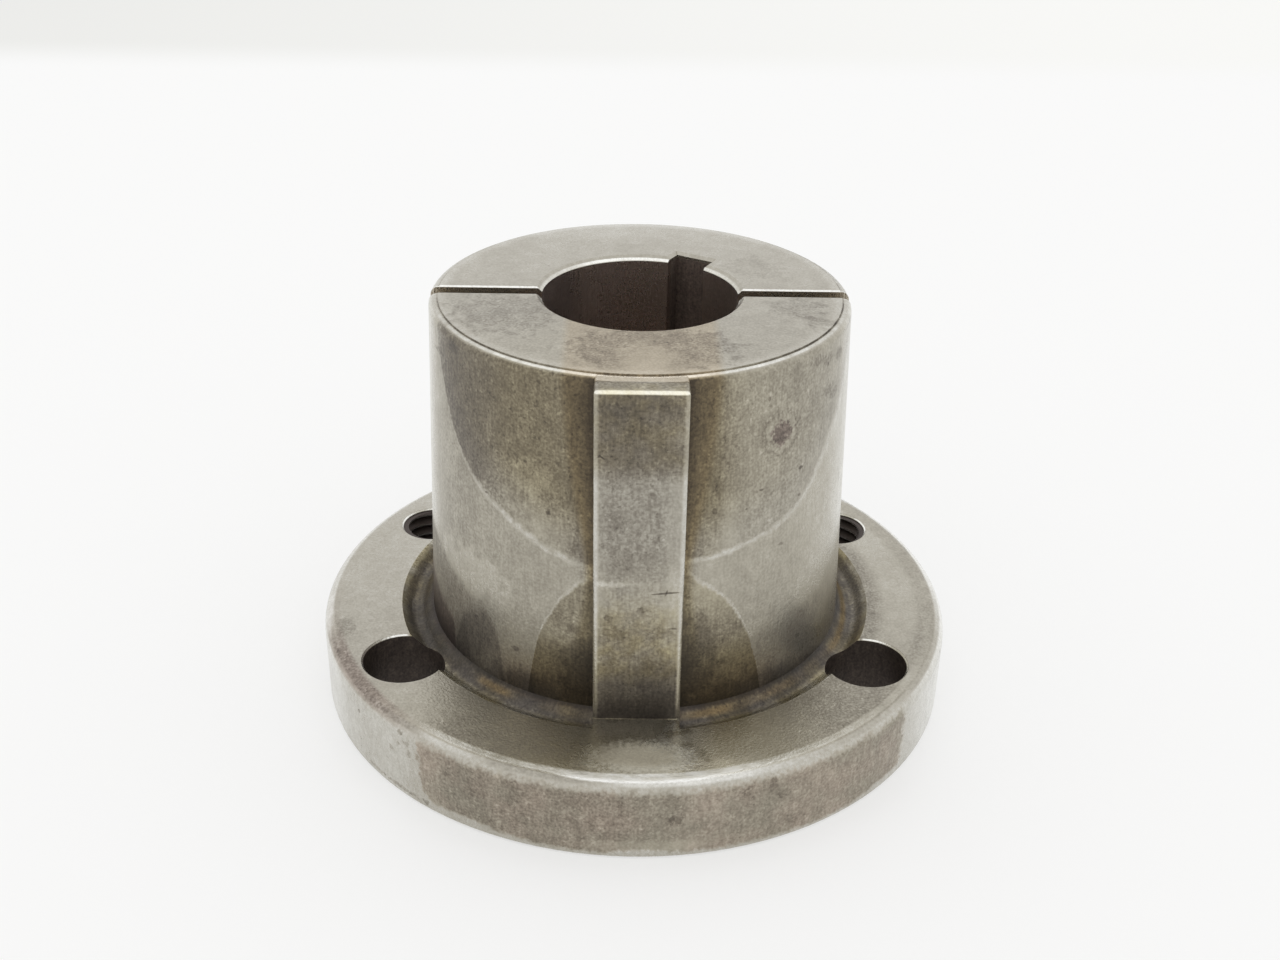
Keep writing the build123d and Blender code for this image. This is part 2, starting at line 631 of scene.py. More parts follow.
# Round spot that a drop left, and small pits and stains
spot_middle = (38.2 * BARREL_DEGREE, 40.9)
spot = blot_at(tree, arc, height, spot_middle, (1.0, 1.0), times(tree, fine_ragged, 0.7))
spot_core = fade(tree, spot["Reach"], 1.0, 1.6, 1.0, 0.0)
spot_ring = within(tree, spot["Reach"], 1.65, 2.2, 0.25)
barrel = dull(tree, barrel, within(tree, spot["Reach"], 2.2, 2.7, 0.3), 0.8)
barrel = dull(
    tree, barrel, times(tree, spot_ring, cloud(tree, place, 0.5, detail=2, seed=2.2)), 1.14
)
barrel = dull(
    tree, barrel, spot_core, pick(tree, cloud(tree, place, 0.5, detail=2, seed=9.9), 0.36, 0.58)
)
oil = dull(tree, oil, spot_core, 0.0)
barrel = stained(
    tree,
    barrel,
    arc,
    height,
    times(tree, fine_ragged, 0.6),
    (
        (-23.2, 33.0, 0.24, 0.36, 0.45),
        (-29.9, 38.3, 0.22, 0.20, 0.5),
        (-17.3, 37.8, 0.20, 0.26, 0.65),
        (-32.9, 14.7, 0.55, 0.36, 0.5),
        (-21.3, 17.1, 0.45, 0.30, 0.65),
        (-42.7, 32.9, 0.22, 0.14, 0.5),
        (19.0, 33.7, 0.34, 0.36, 0.6),
        (28.0, 33.2, 0.30, 0.18, 0.5),
        (32.2, 35.0, 0.30, 0.14, 0.6),
        (45.9, 35.8, 0.32, 0.22, 0.5),
        (33.6, 45.3, 0.18, 0.28, 0.55),
        (46.0, 32.5, 0.32, 0.20, 0.65),
        (39.4, 27.5, 0.40, 0.22, 0.75),
        (52.0, 47.4, 1.3, 0.6, 0.72),
        (57.2, 46.8, 1.0, 0.7, 0.72),
        (64.0, 46.5, 1.2, 0.8, 0.75),
        (57.5, 43.2, 1.3, 0.6, 0.8),
        (62.0, 42.2, 1.4, 0.6, 0.8),
        (-66.0, 45.8, 1.4, 0.35, 0.7),
        (-56.0, 47.6, 1.1, 0.5, 0.7),
    ),
    BARREL_DEGREE,
)

# Key: a brown film on its upper end, one tide mark across the middle, and
# oil and dirt at its foot, where the hub covered it
key_height = plus(tree, height, times(tree, fade(tree, height, 19, 15), times(tree, across, -0.28)))
key = follow(
    tree,
    key_height,
    (
        (9, 0.035), (10.5, 0.045), (12, 0.065), (13.4, 0.1), (14.8, 0.125), (16.2, 0.18),
        (17.6, 0.25), (21, 0.285), (24, 0.35), (26, 0.37), (28, 0.345), (32, 0.31), (36, 0.31),
        (38.5, 0.31), (40, 0.245), (41.5, 0.18), (45, 0.172), (48, 0.155), (50, 0.2),
    ),
)
key = times(
    tree,
    key,
    follow(
        tree,
        across,
        ((-5, 1.15), (-4, 1.12), (-3, 0.98), (0, 1.0), (2.2, 1.02), (3.2, 1.22), (5, 1.35)),
        2,
    ),
)
key_oil = follow(
    tree,
    height,
    (
        (9, 0.15), (13, 0.3), (15, 0.5), (17, 0.75), (23, 0.55), (27, 0.1), (38, 0.0), (40, 0.15),
        (42.5, 0.55), (50, 0.65),
    ),
)
key_oil = times(tree, key_oil, pick(tree, cloud(tree, place, 2.2, detail=3, seed=7.7), 0.5, 1.3))
key_line = use_group(
    tree, tide_mark, Distance=less(tree, height, 27.0), Ragged=fine_ragged, Line_Width=0.26
)
key = plus(tree, key, times(tree, key_line["Line"], fade(tree, across, -3.0, 2.5, 0.17, 0.03)))
key = stained(
    tree,
    key,
    across,
    height,
    times(tree, fine_ragged, 0.9),
    (
        (-3.1, 22.7, 0.4, 0.45, 0.6),
        (0.3, 23.9, 0.6, 0.35, 0.62),
        (-2.4, 20.6, 1.3, 1.3, 0.8),
        (2.4, 20.9, 1.6, 0.8, 0.85),
        (-0.4, 18.0, 1.5, 0.6, 0.85),
        (1.5, 16.9, 1.2, 0.7, 0.8),
        (-2.9, 42.0, 0.22, 0.22, 0.5),
        (-2.8, 46.6, 0.25, 0.2, 0.7),
        (0.0, 46.3, 0.4, 0.3, 0.7),
        (2.0, 47.4, 0.3, 0.3, 0.7),
        (3.7, 21.5, 0.6, 0.10, 0.6),
        (-2.5, 33.8, 0.4, 0.3, 0.75),
        (1.7, 32.4, 0.5, 0.4, 0.75),
        (-3.8, 31.6, 0.3, 0.3, 0.75),
        (1.2, 37.7, 0.3, 0.2, 0.75),
    ),
)
along_scratch = less(tree, height, times(tree, across, 0.11))
scratch = blot_at(
    tree, across, along_scratch, (2.9, 25.62), (1.7, 0.13), times(tree, fine_ragged, 0.25)
)
key = dull(tree, key, scratch["Mask"], 0.38)
along_nick = less(tree, across, times(tree, height, 0.35))
nick = blot_at(tree, along_nick, height, (-6.18, 25.95), (0.12, 0.42))
key = dull(tree, key, nick["Mask"], 0.5)
bend = times(tree, size_of(tree, plus(tree, across, 4.1)), 0.8)
chip = blot_at(tree, across, plus(tree, height, bend), (-4.1, 42.05), (0.5, 0.14))
key = dull(tree, key, chip["Mask"], 0.4)
# Key edges lighter: rubbed, with a painted highlight along them
key_edge_wear_and_highlight = times(
    tree,
    fade(tree, aside, 4.08, 4.5),
    follow(
        tree,
        height,
        (
            (9, 0.0), (10.4, 0.2), (12, 0.5), (17, 0.85), (27, 1.0), (38, 0.95), (41.5, 0.5),
            (50, 0.55),
        ),
    ),
)
key = pick(tree, key_edge_wear_and_highlight, key, 0.58)
on_key = times(
    tree,
    fade(tree, aside, KEY_HALF_WIDTH + 0.06, KEY_HALF_WIDTH + 0.02),
    fade(tree, ahead, 23.9, 24.3),
)
tone = pick(tree, on_key, barrel, key)
oil = pick(tree, on_key, oil, times(tree, key_oil, pick(tree, key_edge_wear_and_highlight, 1.0, 0.2)))

# Small end: bright where the hub left it open, with finger marks in front
end = follow(
    tree,
    ahead,
    (
        (-24, 0.55), (-16, 0.47), (-8, 0.455), (0, 0.44), (4, 0.42), (12, 0.41), (20, 0.42),
        (24, 0.44),
    ),
)
print_grain = cloud(tree, place, 0.8, detail=4, seed=6.1)
end = stained(
    tree,
    end,
    across,
    ahead,
    times(tree, ragged, 0.9),
    (
        (-14.5, 6.6, 6.6, 6.4, 0.76),
        (13.2, -8.0, 3.6, 3.4, 0.86),
        (-3.6, -14.4, 3.4, 1.8, 0.93),
        (17.2, 4.6, 3.0, 3.0, 0.78),
        (19.4, 8.6, 1.6, 2.0, 0.78),
        (-5.2, 13.2, 1.3, 1.2, 0.86),
        (7.6, 13.0, 1.4, 1.2, 0.88),
    ),
    broken=(pick(tree, print_grain, 0.55, 1.0),),
)
print_outside = blot_at(tree, across, ahead, (1.0, 16.4), (9.1, 6.4), times(tree, ragged, 0.45))
print_inside = blot_at(tree, across, ahead, (0.6, 19.2), (3.9, 5.5), times(tree, ragged, 0.4))
finger_print = times(
    tree,
    fade(tree, print_outside["Reach"], 0.7, 1.12, 1.0, 0.0),
    fade(tree, print_inside["Reach"], 0.4, 1.2),
    fade(tree, ahead, 23, 21),
    pick(tree, cloud(tree, place, 0.9, detail=4, seed=6.1), 0.6, 1.15),
)
end = dull(tree, end, finger_print, 0.66)
# Brighter towards the outer edge: a painted highlight on the rounding
end = dull(tree, end, fade(tree, radius, 21.2, 22.4), 1.18)
hairline = blot_at(tree, less(tree, across, ahead), ahead, (-3.1, -8.2), (0.14, 1.0))
end = dull(tree, end, hairline["Mask"], 0.8)
broken = cloud(tree, place, 1.6, detail=3, seed=2.9)
# Dark line along the crease at the end's edge: dirt and painted shade
crease_dirt_and_shade = times(
    tree,
    within(tree, radius, 22.62, 22.80, 0.05),
    follow(
        tree,
        around,
        (
            (-180, 0.3), (-80, 0.6), (-40, 0.8), (-14, 0.3), (-9, 0.9), (9, 0.9), (14, 0.15),
            (30, 0.5), (50, 0.9), (70, 1.0), (180, 0.3),
        ),
    ),
    pick(tree, broken, 0.3, 1.1),
)
on_end = times(tree, fade(tree, height, 48.7, 49.0), fade(tree, radius, 24.4, 24.2))
tone = pick(tree, on_end, tone, end)
# Painted highlight on the round at the end's edge, strongest in front
end_edge_highlight = times(
    tree,
    within(tree, radius, 22.86, 23.2, 0.07),
    fade(tree, height, 48.5, 48.8),
    follow(
        tree,
        around,
        ((-100, 0), (-60, 0.3), (-40, 0.7), (-12, 1.0), (12, 1.0), (30, 0.8), (50, 0.45), (90, 0)),
    ),
    pick(tree, broken, 1.1, 0.5),
)
tone = pick(tree, end_edge_highlight, tone, 0.9)
# Key top, with a painted highlight along its front edge
key_top = follow(
    tree,
    ahead,
    (
        (22, 0.13), (23.0, 0.13), (23.7, 0.21), (24.6, 0.27), (25.4, 0.29), (25.9, 0.34),
        (26.15, 0.62), (26.4, 0.95), (27, 0.8),
    ),
)
on_key_top = times(tree, fade(tree, height, 48.72, 48.9), fade(tree, radius, 22.7, 22.85), on_key)
tone = pick(tree, on_key_top, tone, key_top)
tone = dull(tree, tone, times(tree, crease_dirt_and_shade, on_end), 0.3)
oil = dull(tree, oil, on_end, 0.15)

# Flange face, groove and rim
flange = follow(
    tree,
    around,
    (
        (-180, 0.46), (-90, 0.46), (-75, 0.42), (-60, 0.42), (-48, 0.43), (-38, 0.39), (-28, 0.33),
        (-20, 0.32), (-10, 0.39), (0, 0.52), (7, 0.70), (11, 0.88), (15, 0.74), (20, 0.55),
        (26, 0.45), (33, 0.38), (42, 0.32), (52, 0.33), (62, 0.40), (90, 0.46), (180, 0.46),
    ),
)
flange = stained(
    tree,
    flange,
    across,
    ahead,
    times(tree, ragged, 0.8),
    (
        (-34.5, 9.5, 1.6, 1.8, 0.8),
        (-19.5, 28.5, 2.2, 2.6, 0.85),
        (0.0, 28.0, 5.2, 1.9, 0.5),
        (-5.6, 33.2, 1.5, 2.4, 1.3),
        (6.9, 32.4, 0.7, 1.0, 0.75),
        (5.4, 31.0, 0.6, 0.5, 0.75),
        (7.6, 33.6, 0.5, 0.5, 0.7),
    ),
)
pale_patch = blot_at(tree, across, ahead, (0.4, 33.4), (5.7, 3.2), times(tree, fine_ragged, 0.3))
pale_patch = fade(tree, pale_patch["Reach"], 0.35, 1.2, 1.0, 0.0)
flange = pick(tree, pale_patch, flange, 0.42)
# In front the flange is brighter towards the rim: worn, and a painted reflection
flange = dull(
    tree,
    flange,
    times(tree, fade(tree, radius, 33.8, 35.6), fade(tree, size_of(tree, around), 24, 12)),
    1.5,
)
right_flange = times(tree, fade(tree, around, 55, 68), fade(tree, around, 150, 110))
# On the right the flange is painted darker towards the groove, as shade beside it
flange = dull(tree, flange, times(tree, right_flange, fade(tree, radius, 31.6, 29.2)), 0.7)
flange = dull(tree, flange, times(tree, right_flange, fade(tree, radius, 34.2, 35.4)), 0.86)
on_flange = times(
    tree,
    fade(tree, height, FLANGE_FACE + 0.25, FLANGE_FACE + 0.02),
    fade(tree, radius, GROOVE_RADIUS - 0.5, GROOVE_RADIUS - 0.1),
)
bridge = times(tree, fade(tree, aside, 4.82, 4.78), fade(tree, ahead, 26.55, 26.65))
bridge = times(tree, bridge, fade(tree, height, FLANGE_FACE + 0.1, FLANGE_FACE + 0.02))
on_flange = most(tree, on_flange, bridge)
tone = pick(tree, on_flange, tone, flange)
oil = pick(
    tree,
    on_flange,
    oil,
    follow(tree, around, ((-60, 0.0), (-30, 0.2), (0, 0.35), (30, 0.2), (60, 0.05))),
)
groove = follow(
    tree,
    radius,
    (
        (24, 0.03), (25.0, 0.035), (25.35, 0.07), (25.8, 0.08), (26.2, 0.09), (26.5, 0.17),
        (26.8, 0.3), (27.3, 0.7), (30, 0.8),
    ),
)
beside = fade(tree, size_of(tree, around), 55, 68)
beside_groove = follow(
    tree,
    radius,
    (
        (24, 1.2), (25.8, 1.3), (26.1, 1.1), (26.5, 0.7), (26.8, 0.35), (27.3, 0.24), (28, 0.27),
        (28.5, 0.6), (30, 0.6),
    ),
    2,
)
groove = times(tree, groove, pick(tree, beside, 1.0, beside_groove))
groove = dull(tree, groove, times(tree, right_flange, fade(tree, radius, 27.6, 28.1)), 0.75)
groove = dull(
    tree,
    groove,
    follow(tree, around, ((-100, 0.1), (-80, 0.7), (-68, 1.0), (-58, 0.5), (-48, 0))),
    0.6,
)
# A golden glow on the groove's inner flank, painted as a reflection
glow = times(
    tree,
    follow(
        tree,
        around,
        (
            (-180, 0.5), (-100, 0.2), (-50, 0), (-44, 0.6), (-38, 1), (-33, 0.4), (-28, 0),
            (-22, 0.35), (-14, 0.2), (11, 0.5), (16, 0.9), (22, 1.0), (27, 0.4), (40, 0.7),
            (50, 0.2), (60, 0.3), (75, 0.9), (100, 0.9), (180, 0.5),
        ),
    ),
    within(tree, plus(tree, radius, times(tree, beside, -0.3)), 25.25, 25.95, 0.25),
)
groove = dull(tree, groove, glow, 2.1)
groove = times(tree, groove, pick(tree, cloud(tree, place, 2.2, detail=3, seed=9.3), 0.75, 1.25))
in_groove = times(
    tree,
    within(tree, radius, 24.6, GROOVE_RADIUS + 0.02, 0.04),
    fade(tree, height, FLANGE_FACE + 0.08, FLANGE_FACE - 0.04),
)
in_groove = times(tree, in_groove, fade(tree, bridge, 1.0, 0.0), fade(tree, height, 6.9, 7.2))
tone = pick(tree, in_groove, tone, groove)
oil = pick(tree, in_groove, oil, most(tree, glow, cloud(tree, place, 4.0, detail=2, seed=5.5)))
# Clean rim, painted lighter towards its sides and most on the right, where the light falls
clean_rim_and_side_light = follow(
    tree,
    around,
    (
        (-180, 0.6), (-90, 0.72), (-70, 0.71), (-62, 0.62), (-54, 0.545), (-46, 0.55), (-38, 0.50),
        (0, 0.5), (52, 0.56), (58, 0.61), (64, 0.70), (74, 0.80), (90, 0.86), (180, 0.6),
    ),
)
rim_ragged = plus(tree, times(tree, ragged, 0.7), times(tree, fine_ragged, 0.9))
patch_left = follow(
    tree,
    height,
    ((0, 36.0), (1.2, 36.2), (2.2, 37.0), (3.2, 37.7), (6, 38.1), (8.6, 38.8), (9.6, 39)),
    60,
)
from_left = plus(tree, around, patch_left, rim_ragged)
patch_right = plus(tree, less(tree, around, 52.3), rim_ragged)
patch_foot = follow(
    tree,
    around,
    (
        (-60, 0.5), (-38, 0.9), (-28, 1.2), (-22, 0.7), (-6, 0.4), (0, 0.8), (8, 0.5), (38, 0.4),
        (48, 0.9), (60, 0.5),
    ),
    2,
)
rim_patch = times(
    tree,
    fade(tree, from_left, -0.45, 0.45),
    fade(tree, patch_right, 0.6, -0.6),
    fade(
        tree,
        plus(tree, height, times(tree, rim_ragged, 0.3)),
        patch_foot,
        plus(tree, patch_foot, 0.6),
    ),
    fade(tree, plus(tree, height, times(tree, rim_ragged, 0.5)), 9.2, 8.1),
)
patch_tone = follow(
    tree,
    around,
    (
        (-40, 0.35), (-36, 0.34), (-30, 0.28), (-22, 0.29), (-12, 0.28), (0, 0.30), (8, 0.335),
        (20, 0.33), (32, 0.335), (44, 0.33), (54, 0.34),
    ),
)
rim = pick(tree, rim_patch, clean_rim_and_side_light, patch_tone)
rim = stained(
    tree,
    rim,
    times(tree, around, RIM_DEGREE),
    height,
    times(tree, fine_ragged, 0.9),
    (
        (-45.0, 5.8, 0.4, 0.3, 0.72),
        (-43.0, 7.0, 0.35, 0.25, 0.72),
        (-41.0, 7.6, 0.6, 0.3, 0.7),
        (-40.5, 6.4, 0.35, 0.4, 0.75),
        (-42.6, 8.6, 0.5, 0.3, 0.62),
        (-55.0, 6.8, 0.25, 0.35, 0.55),
        (-50.0, 0.9, 2.0, 0.25, 0.8),
        (-43.0, 0.9, 2.6, 0.25, 0.7),
        (-37.2, 0.9, 0.6, 0.3, 0.6),
        (6.2, 5.2, 0.9, 0.7, 0.62),
        (6.2, 7.4, 1.3, 1.0, 0.85),
        (22.4, 7.6, 0.5, 1.1, 0.72),
        (24.3, 6.2, 0.9, 0.5, 0.75),
        (18.0, 7.0, 0.8, 1.6, 0.8),
        (-2.6, 6.8, 0.35, 1.4, 0.78),
        (26.5, 2.3, 1.4, 0.6, 0.82),
        (-20.0, 6.0, 1.0, 2.4, 0.88),
        (-28.0, 6.0, 2.4, 1.6, 0.9),
    ),
    RIM_DEGREE,
)
# Top of the rim: a painted highlight in front, darker to the sides
rim_top_highlight_and_tone = follow(
    tree,
    around,
    (
        (-90, 1.0), (-75, 0.93), (-65, 0.68), (-55, 0.85), (-42, 0.76), (-36, 1.15), (-30, 1.15),
        (-23, 0.84), (-12, 0.8), (-5, 1.0), (2, 1.4), (15, 1.4), (22, 1.15), (35, 0.92), (46, 0.85),
        (52, 0.9), (60, 0.66), (74, 0.62), (95, 1.0),
    ),
    2,
)
rim = dull(tree, rim, fade(tree, height, 9.1, 9.35), rim_top_highlight_and_tone)
rim = dull(
    tree,
    rim,
    times(tree, within(tree, height, 0.9, 2.3, 0.4), within(tree, around, -8, 11, 3)),
    1.3,
)
on_rim = fade(tree, radius, RIM_RADIUS - 1.3, RIM_RADIUS - 0.9)
tone = pick(tree, on_rim, tone, rim)
oil = pick(tree, on_rim, oil, times(tree, rim_patch, 0.25))
# Painted highlight along the front of the flange's rounded rim
glint = times(
    tree,
    fade(tree, radius, RIM_RADIUS - 2.35, RIM_RADIUS - 1.95),
    fade(
        tree,
        less(tree, radius, fade(tree, size_of(tree, around), 16, 8, 0.0, 0.35)),
        RIM_RADIUS - 1.1,
        RIM_RADIUS - 1.4,
    ),
    follow(
        tree,
        around,
        (
            (-60, 0), (-44, 0.05), (-38, 0.15), (-33, 0.4), (-27, 0.55), (-20, 0.55), (-10, 0.8),
            (0, 1.0), (12, 0.9), (20, 0.6), (30, 0.3), (45, 0.2), (60, 0.1), (80, 0),
        ),
    ),
    pick(tree, cloud(tree, on["Unrolled"], 0.8, (1.6, 1, 1), detail=4, seed=3.3), 0.55, 1.1),
    fade(tree, height, 8.8, 9.0),
)
tone = pick(tree, glint, tone, 1.2)
oil = dull(tree, oil, glint, 0.0)
streak = times(
    tree,
    within(tree, radius, RIM_RADIUS - 1.9, RIM_RADIUS - 0.2, 0.35),
    follow(
        tree,
        around,
        ((-100, 0), (-78, 0.2), (-66, 0.9), (-56, 1.0), (-48, 0.7), (-40, 0.1), (-36, 0)),
    ),
    fade(tree, height, 8.6, 9.0),
)
tone = dull(tree, tone, streak, 0.66)
soot = times(
    tree,
    within(tree, height, 8.8, 9.55, 0.12),
    follow(tree, around, ((-110, 0), (-80, 0.5), (-66, 0.8), (-56, 0.6), (-46, 0.2), (-38, 0))),
    on_rim,
    cloud(tree, on["Unrolled"], 1.2, (4, 1, 1), detail=3, seed=8.8),
)
tone = dull(tree, tone, soot, 0.45)

# Bore, saw cuts and holes keep their old oil, and their edges are rubbed bright, with painted
# highlights on them
in_bore = times(
    tree,
    fade(tree, radius, 13.9, 13.7),
    fade(tree, height, END_FACE - 0.62, END_FACE - 0.68),
    fade(tree, steepness, 0.9, 0.3),
)
# The bore's left wall is painted lighter than its right: a painted reflection
tone = pick(tree, in_bore, tone, pick(tree, fade(tree, across, -11, 9), 0.56, 0.42))
tone = dull(tree, tone, times(tree, in_bore, fade(tree, radius, 11.7, 12.3)), 0.35)
oil = pick(tree, in_bore, oil, 0.0)
# Painted highlight on the bore's chamfer, in front and behind
bore_edge_highlight = times(
    tree,
    fade(tree, radius, BORE_RADIUS + 0.34, BORE_RADIUS + 0.26),
    fade(tree, height, END_FACE - 0.6, END_FACE - 0.5),
    fade(tree, aside, 13, 4),
)
tone = pick(tree, bore_edge_highlight, tone, 0.95)
cut_side = size_of(tree, less(tree, ahead, SAW_CUT_AHEAD))
in_cut = times(
    tree,
    fade(tree, cut_side, SAW_CUT_HALF_WIDTH + 0.04, SAW_CUT_HALF_WIDTH - 0.02),
    fade(tree, height, 9.8, 10.1),
    fade(tree, radius, 11.0, 11.2),
)
tone = pick(tree, in_cut, tone, 0.5)
oil = pick(tree, in_cut, oil, 0.4)
# Painted highlight along the saw cuts' edges, strongest on the far edge
cut_edge_highlight = times(
    tree,
    within(tree, cut_side, SAW_CUT_HALF_WIDTH + 0.01, SAW_CUT_HALF_WIDTH + 0.17, 0.03),
    fade(tree, height, 48.9, 49.0),
    fade(tree, ahead, 1.0, -0.5, 0.25, 1.0),
)
tone = pick(tree, cut_edge_highlight, tone, 0.97)
among_holes = within(tree, radius, 25.9, 36.6, 0.2)
in_hole = times(tree, fade(tree, height, 9.42, 9.36), among_holes, fade(tree, steepness, 0.5, 0.2))
tone = pick(tree, in_hole, tone, 0.085)
oil = pick(tree, in_hole, oil, 0.2)
# Hole chamfers painted bright: rubbed, and a painted highlight
hole_edge_highlight = times(
    tree,
    within(tree, height, 9.43, 9.57, 0.03),
    within(tree, steepness, 0.5, 0.9, 0.05),
    within(tree, radius, GROOVE_RADIUS + 0.3, 36.4, 0.2),
)
tone = pick(tree, hole_edge_highlight, tone, 0.92)

# Mottling over everything, coarser and stronger where the steel is dirty
dirty = fade(tree, tone, 0.46, 0.24)
broad = cloud(tree, place, 6.0, detail=3, seed=3.1)
patchy = cloud(tree, place, 1.5, detail=5, seed=8.4)
specks = cloud(tree, place, 0.30, detail=3, seed=1.9)
streaks = cloud(tree, on["Unrolled"], 0.28, (1, 1, 9), detail=3, seed=5.2)
pits = fade(tree, cloud(tree, place, 0.5, detail=1, seed=7.1), 0.90, 1.0)
mottle = times(
    tree,
    pick(tree, broad, pick(tree, dirty, 0.96, 0.92), pick(tree, dirty, 1.04, 1.08)),
    pick(tree, patchy, pick(tree, dirty, 0.95, 0.86), pick(tree, dirty, 1.05, 1.14)),
    pick(tree, specks, pick(tree, dirty, 0.92, 0.74), pick(tree, dirty, 1.08, 1.26)),
    pick(tree, streaks, pick(tree, dirty, 0.96, 0.87), pick(tree, dirty, 1.04, 1.13)),
    pick(
        tree,
        times(tree, fade(tree, cloud(tree, place, 0.55, detail=2, seed=3.7), 0.78, 1.0), dirty),
        1.0,
        1.3,
    ),
    pick(tree, times(tree, pits, dirty), 1.0, 0.7),
)
tone = times(tree, tone, mottle)

# Colours of the steel, from sooty to rubbed bright
SOOTY = (0.01, 0.008, 0.007, 1)
RUBBED_BRIGHT = (1.0, 1.0, 0.97, 1)
steel_colours = tree.nodes.new("ShaderNodeValToRGB")
tree.links.new(tone, steel_colours.inputs["Fac"])
ramp = steel_colours.color_ramp
ramp.elements[0].color = SOOTY
ramp.elements[1].color = RUBBED_BRIGHT
for position, colour in (
    (0.07, (0.070, 0.060, 0.052)),
    (0.20, (0.200, 0.178, 0.146)),
    (0.45, (0.450, 0.425, 0.365)),
    (0.62, (0.620, 0.605, 0.555)),
):
    ramp.elements.new(position).color = (*colour, 1)

# Old oil yellows the steel, dried films leave it violet or golden in places, and the painted glow
# in the groove is golden
OIL_TINT = (1.0, 0.935, 0.70, 1)
GOLD_TINT = (1.04, 0.90, 0.74, 1)
VIOLET_TINT = (1.04, 0.93, 0.95, 1)
off_key = less(tree, 1.0, on_key)
on_barrel = fade(tree, radius, 25.4, 25.1)
violet = most(
    tree,
    times(tree, in_violet_film, fade(tree, height, 50, 9.5, 0.0, 0.9), on_barrel, off_key),
    times(tree, in_bore, off_key),
    times(tree, in_cut, off_key, 0.5),
    times(tree, spot_core, off_key, 0.8),
    times(tree, streak, 0.7),
    times(tree, rim_patch, on_rim, broad, 0.7),
    times(tree, in_hole, 0.8),
)
gold = most(
    tree,
    times(tree, glow, in_groove),
    times(tree, beside_key, off_key, fade(tree, height, 22, 30, 0.0, 0.5)),
    times(
        tree,
        fade(tree, height, 16, 11),
        fade(tree, radius, 25.6, 25.2),
        fade(tree, size_of(tree, around), 44, 32, 0.0, 0.5),
    ),
)
colour = steel_colours.outputs["Color"]
for amount, tint in ((oil, OIL_TINT), (gold, GOLD_TINT), (violet, VIOLET_TINT)):
    tinted = tree.nodes.new("ShaderNodeMix")
    tinted.data_type = "RGBA"
    tinted.blend_type = "MULTIPLY"
    tree.links.new(amount, tinted.inputs[0])
    tree.links.new(colour, tinted.inputs[6])
    tinted.inputs[7].default_value = tint
    colour = tinted.outputs[2]
tree.links.new(colour, surface.inputs["Base Color"])

# Clean steel is the shinier and the more metallic, under a fine grain
GRAIN_DEPTH = 0.01 * MILLIMETRE
metal = fade(tree, tone, 0.10, 0.42, 0.55, 0.95)
# Less metallic under the painted highlight, so that it stays bright, and on the pale patch
metal = dull(tree, dull(tree, metal, glint, 0.4), times(tree, pale_patch, on_flange), 0.2)
tree.links.new(metal, surface.inputs["Metallic"])
shine = fade(tree, tone, 0.15, 0.6, 0.42, 0.25)
tree.links.new(shine, surface.inputs["Roughness"])
grain = tree.nodes.new("ShaderNodeBump")
grain.inputs["Distance"].default_value = GRAIN_DEPTH
tree.links.new(plus(tree, specks, streaks), grain.inputs["Height"])
tree.links.new(grain.outputs["Normal"], surface.inputs["Normal"])
for slot in bush.material_slots:
    slot.material = steel


# Jack-screw threads. Coarse right-hand threads tapped in two of the flange's
# holes, so that screws run in there push the bush out of its hub. Each turn
# is cut in the same steel, bright on its worn crest and black in its root.
HOLE_CIRCLE_RADIUS = 30.954
THREAD_ROOT = 3.99
THREAD_CREST = 3.32
THREAD_PITCH = 1.411
THREAD_CREST_FLAT = 0.2
THREAD_ROOT_GAP = 0.12
THREAD_FOOT = 0.12
THREAD_TOP = FLANGE_FACE - 0.3
THREAD_STEPS = 36
FIRST_HOLE_ANGLE = 30
BETWEEN_HOLES = 120
thread_mesh = bpy.data.meshes.new("jack_threads")
shape = bmesh.new()
hole_angle = math.radians(FIRST_HOLE_ANGLE)
outwards = Vector((math.cos(hole_angle), math.sin(hole_angle), 0))
hole_middle = outwards * HOLE_CIRCLE_RADIUS
half_root = THREAD_PITCH / 2 - THREAD_ROOT_GAP / 2
turns = math.ceil(FLANGE_FACE / THREAD_PITCH) + 2
start = Vector((0, 0, -1.5 * THREAD_PITCH))
outline = [
    shape.verts.new(hole_middle + start + outwards * reach + Vector((0, 0, rise)))
    for reach, rise in (
        (THREAD_ROOT, -half_root),
        (THREAD_CREST, -THREAD_CREST_FLAT / 2),
        (THREAD_CREST, THREAD_CREST_FLAT / 2),
        (THREAD_ROOT, half_root),
    )
]
ridge = shape.faces.new(outline)
bmesh.ops.spin(
    shape,
    geom=[ridge, *ridge.edges, *ridge.verts],
    cent=hole_middle,
    axis=(0, 0, 1),
    dvec=(0, 0, THREAD_PITCH / THREAD_STEPS),
    angle=turns * 2 * math.pi,
    steps=turns * THREAD_STEPS,
    use_duplicate=False,
)
bmesh.ops.recalc_face_normals(shape, faces=shape.faces)
upwards = Vector((0, 0, 1))
groove_edge = outwards * (GROOVE_RADIUS - 0.05) + upwards * (FLANGE_FACE - 0.12)
for cut_at, facing_away in (
    (Vector((0, 0, THREAD_FOOT)), -upwards),
    (Vector((0, 0, THREAD_TOP)), upwards),
    (groove_edge, (upwards - outwards).normalized()),
):
    bmesh.ops.bisect_plane(
        shape,
        geom=[*shape.verts, *shape.edges, *shape.faces],
        plane_co=cut_at,
        plane_no=facing_away,
        clear_outer=True,
    )
    bmesh.ops.holes_fill(shape, edges=[edge for edge in shape.edges if edge.is_boundary], sides=0)
bmesh.ops.scale(shape, vec=(MILLIMETRE,) * 3, verts=shape.verts)
second = bmesh.ops.duplicate(shape, geom=[*shape.verts, *shape.edges, *shape.faces])
